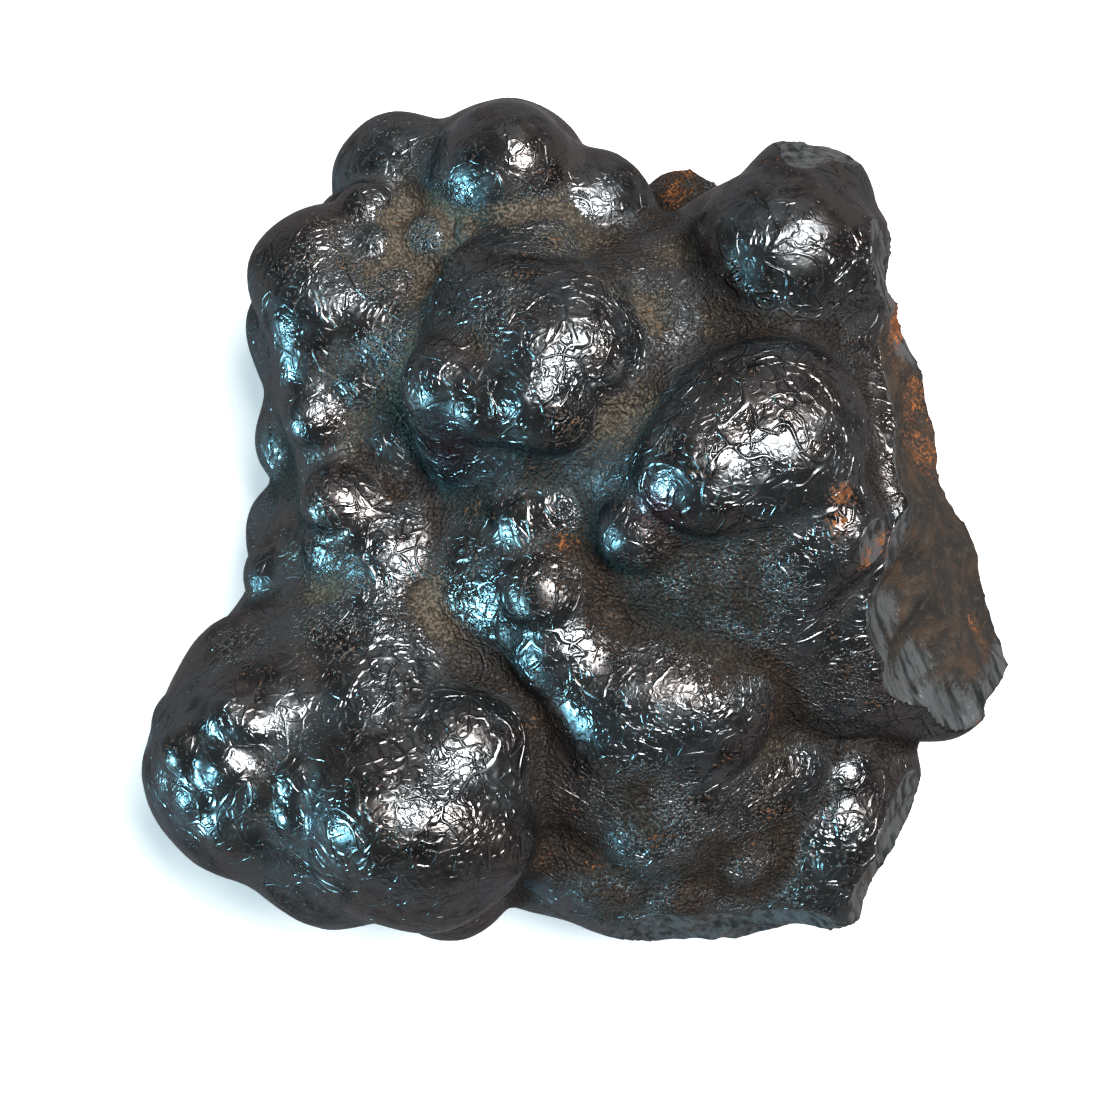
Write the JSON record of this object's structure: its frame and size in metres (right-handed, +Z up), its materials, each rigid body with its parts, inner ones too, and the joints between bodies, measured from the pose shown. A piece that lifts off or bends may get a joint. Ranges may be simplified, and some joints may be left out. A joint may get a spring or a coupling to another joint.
{
  "type": "botryoidal hematite",
  "caption": "Hand-sized botryoidal hematite: a black, lustrous crust of rounded lumps grown together, broken along one side, lying on its flat broken back.",
  "frame": {"origin": "middle of the stone in plan, on the plane of the flat broken back that it rests on", "axes": "+Z up, from the broken back to the crown of the lumps; +X towards the long broken side; +Y towards the two round lumps at the far left edge"},
  "size_m": [0.0524, 0.0513, 0.0313],
  "materials": {
    "hematite": "wrinkled, metallic black crust, with matte brown dust in the creases and satin steel-grey breaks"
  },
  "bodies": {
    "root": {"stone": "hematite"}
  },
  "joints": []
}
